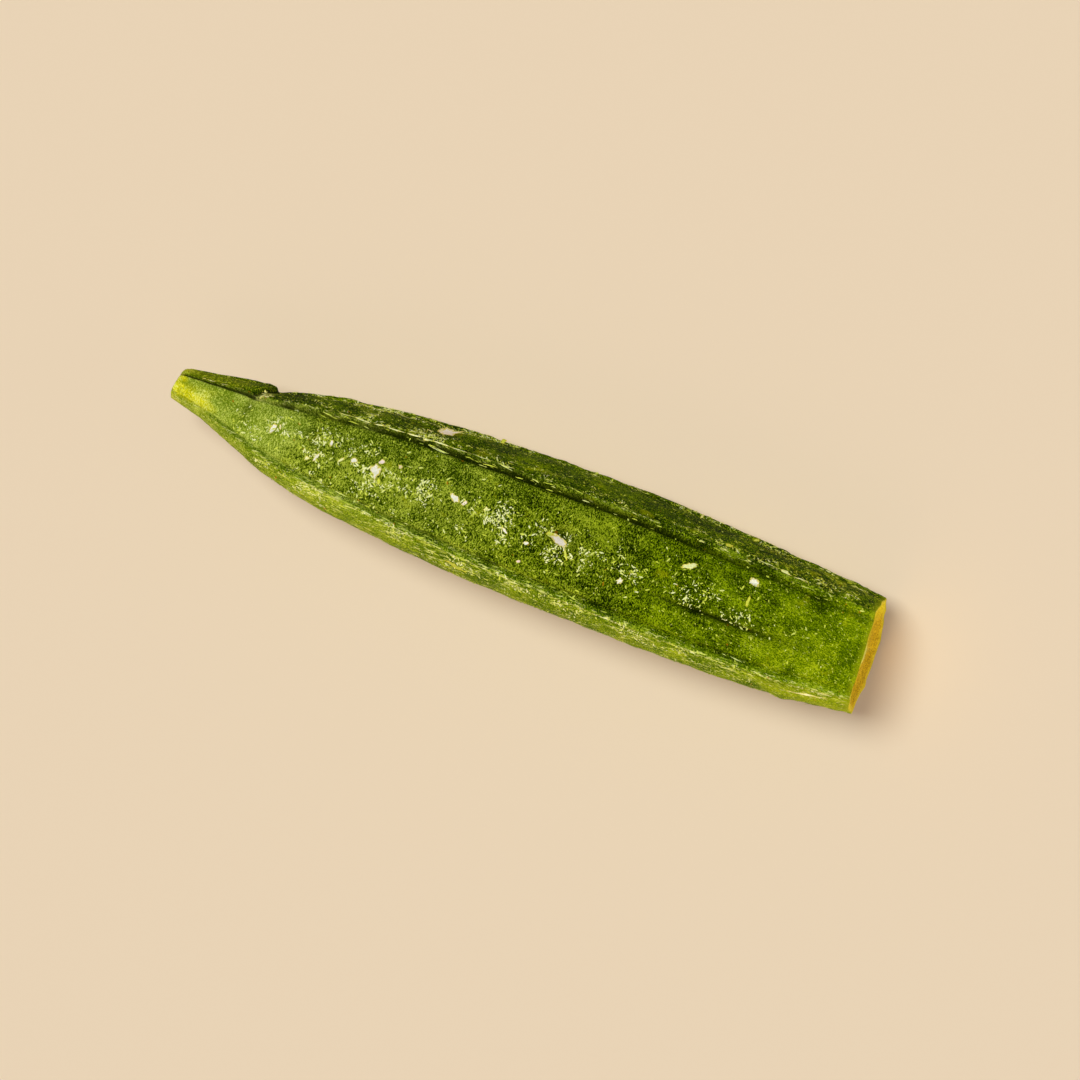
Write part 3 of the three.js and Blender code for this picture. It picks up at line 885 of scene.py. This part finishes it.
# s, theta, length, width, degrees turned, curl, aged, blush
flakes = [
    # the larger ones
    (29.9, 10, 2.7, 1.8, 24, 0.2, -0.2, 0.4), (28.2, 15, 0.7, 0.4, 10, 0.3, 0.4, 0.2),
    (12.7, 76.8, 1.5, 0.5, 80, 0.3, -0.3, 0.0), (13.4, 71.6, 0.7, 0.25, 110, 0.2, 0.2, 0.3),
    (22.3, 77.6, 0.7, 0.6, 20, 0.3, -0.2, 0.0), (24.9, 80.1, 1.9, 1.1, 105, 0.4, -0.2, 0.1),
    (25.2, 69.6, 0.8, 0.6, 30, 0.4, -0.2, 0.55), (25.6, 88.6, 0.9, 0.3, 95, 0.2, 0.7, 0.0),
    (33.9, 77.1, 1.2, 0.8, -25, 0.3, -0.25, 0.0), (35.1, 78.8, 0.8, 0.4, 60, 0.4, -0.2, 0.4),
    (45.9, 80.8, 2.1, 1.1, -32, 0.4, -0.2, 0.4), (47.0, 89.4, 1.4, 0.24, -64, 0.1, 0.62, 0.0),
    (44.6, 77.6, 0.7, 0.5, 10, 0.3, 0.6, 0.0), (53.3, 93.6, 0.75, 0.5, 70, 0.3, -0.3, 0.0),
    (59.6, 58.2, 1.5, 0.85, 35, 0.3, 0.25, 0.0), (66.4, 50.4, 1.2, 0.8, -15, 0.3, -0.15, 0.0),
    (66.6, 68.6, 1.4, 0.4, 92, 0.1, 0.75, 0.0), (69.0, 30.6, 1.3, 0.6, -14, 0.4, 0.3, 0.0),
    (70.6, 30.6, 1.3, 0.2, 6, 0.3, 0.2, 0.0), (66.9, 30.0, 2.2, 0.1, 1, 0.2, 0.3, 0.0),
    (35.1, -22, 0.7, 0.35, 85, 0.4, 0.75, 0.0), (58.0, -9, 1.1, 0.3, 88, 0.4, 0.4, 0.0),
    (64.2, -14, 0.9, 0.35, 60, 0.4, 0.6, 0.0), (36.1, 139, 2.2, 0.8, -24, 0.1, 0.95, 0.0),
    (75.2, 138, 3.4, 0.35, 8, 0.2, 0.2, 0.1),
    # small ones, most of them down the broad face
    (42.6, 108.6, 0.5, 0.35, 30, 0.2, -0.2, 0.9), (27.2, 67.6, 0.45, 0.4, 0, 0.2, 1.0, 0.6),
    (18.3, 88.6, 1.0, 0.35, 70, 0.5, -0.2, 0.0), (21.0, 81.6, 0.9, 0.3, 50, 0.4, 0.2, 0.0),
    (19.3, 67.6, 0.9, 0.35, 85, 0.4, -0.2, 0.0), (17.4, 93.6, 0.7, 0.4, 40, 0.4, 0.2, 0.0),
    (40.1, 88.6, 0.8, 0.35, -40, 0.4, -0.2, 0.0), (42.7, 92.6, 0.7, 0.4, 20, 0.4, -0.2, 0.0),
    (37.4, 76.6, 0.6, 0.35, 60, 0.4, 0.2, 0.0), (62.4, 28, 0.7, 0.5, 20, 0.5, 0.7, 0.0),
    # threads along the crest
    (19.6, 37.4, 1.6, 0.05, 1, 0.1, 0.4, 0.0), (21.6, 37.9, 1.9, 0.06, -1, 0.1, 0.3, 0.0),
    (23.4, 38.0, 1.2, 0.06, 1, 0.1, 0.2, 0.0), (25.2, 38.2, 2.0, 0.06, -1, 0.1, 0.15, 0.0),
    (27.2, 38.3, 1.7, 0.08, 2, 0.1, 0.15, 0.0), (28.9, 38.0, 1.1, 0.14, 10, 0.1, 0.1, 0.0),
    (30.4, 38.6, 1.7, 0.09, -2, 0.1, 0.1, 0.0), (32.3, 38.8, 2.0, 0.05, 0, 0.1, 0.2, 0.0),
    (35.2, 39.0, 1.6, 0.04, 0, 0.1, 0.3, 0.0), (38.0, 39.2, 1.2, 0.04, 1, 0.1, 0.3, 0.0),
    # on the lip of the torn fold
    (9.9, 24, 0.6, 0.25, 20, 0.4, 0.25, 0.0), (10.1, 31, 0.5, 0.3, 50, 0.4, 0.2, 0.0),
    (10.0, 38, 0.6, 0.3, 80, 0.4, 0.1, 0.0), (10.5, 35, 0.5, 0.25, 10, 0.4, 0.15, 0.0),
    (10.8, 28, 0.7, 0.25, -15, 0.4, 0.2, 0.0), (9.8, 14, 0.5, 0.25, 60, 0.4, 0.35, 0.0),
    # along the crest at the tip
    (4.1, 39.5, 1.1, 0.22, -2, 0.1, 0.15, 0.0), (5.6, 39.8, 1.0, 0.16, 3, 0.1, 0.25, 0.0),
    (3.2, 38.0, 0.4, 0.3, 60, 0.3, 0.3, 0.0), (7.2, 39.8, 1.3, 0.1, -2, 0.1, 0.5, 0.0),
]


def flake_outline(number, length, width):
    """The points of a ragged oval as x and y from its middle, with the middle first."""
    spoke = np.arange(flake_spokes) * 2 * math.pi / flake_spokes
    lobes = 0.34 * grain(spoke * 1.6 + 9, number * 3.7, 41)
    nicks = 0.2 * grain(spoke * 6.1, number * 2.3, 42)
    reach = flake_rings[1:, None] * (1 + lobes + nicks)
    x, y = reach * np.cos(spoke) * length / 2, reach * np.sin(spoke) * width / 2
    return np.append(0, x), np.append(0, y)


def on_skin(s, theta):
    """Where the skin is at s and theta, and the direction out of it there."""
    step_s, step_theta = 0.3, 2
    tipwards = skin(s - step_s, theta)[0] - skin(s + step_s, theta)[0]
    upwards = skin(s, theta + step_theta)[0] - skin(s, theta - step_theta)[0]
    outwards = np.cross(tipwards, upwards)
    return skin(s, theta)[0], outwards / np.linalg.norm(outwards, axis=1)[:, None]


def flake(number, s, theta, length, width, turned, curl):
    """The points of one flake, laid on the skin."""
    x, y = flake_outline(number, length, width)
    cos, sin = math.cos(math.radians(turned)), math.sin(math.radians(turned))
    onward, down = x * cos - y * sin, x * sin + y * cos
    places, outwards = on_skin(s + onward, theta - np.degrees(down / along(ridge_radius, s)))
    far = (x / (length / 2)) ** 2 * 0.5 + (y / (width / 2)) ** 2 * 0.5
    height = cling_height + curl * width * 0.35 * far + 0.05 * grain(x * 3, y * 3 + number, 43)
    height = height + front_lean * (1 - rise(theta, 4, 18)) * (down - down.min())
    return places + outwards * height[:, None]


def flake_faces(middle):
    """The faces of the flake that starts at the point middle: a fan round it, then rings of quads."""
    inner = middle + 1 + np.arange(flake_spokes)
    faces = np.stack([np.full(flake_spokes, middle), inner, np.roll(inner, -1)], 1).tolist()
    for _ in flake_rings[2:]:
        outer = inner + flake_spokes
        faces += np.stack([inner, outer, np.roll(outer, -1), np.roll(inner, -1)], 1).tolist()
        inner = outer
    return faces


verts = [flake(number, *row[:6]) for number, row in enumerate(flakes)]
faces = [face for number in range(len(flakes)) for face in flake_faces(number * flake_points)]
flake_mesh = bpy.data.meshes.new("dry_flakes")
flake_mesh.from_pydata((np.concatenate(verts) + to_frame) * mm, [], faces)
flake_mesh.validate()
ages, blushes = np.array(flakes)[:, 6:].T
rim = np.repeat(flake_rings, [1] + [flake_spokes] * (len(flake_rings) - 1))
store(flake_mesh, "aged", np.repeat(ages, flake_points))
store(flake_mesh, "blush", np.repeat(blushes, flake_points))
store(flake_mesh, "rim", np.tile(rim, len(flakes)))
flake_mesh.polygons.foreach_set("use_smooth", np.ones(len(faces), bool))
flake_mesh.materials.append(dry_skin)
dry_flakes = bpy.data.objects.new("dry_flakes", flake_mesh)
scene.collection.objects.link(dry_flakes)
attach(dry_flakes, "root")
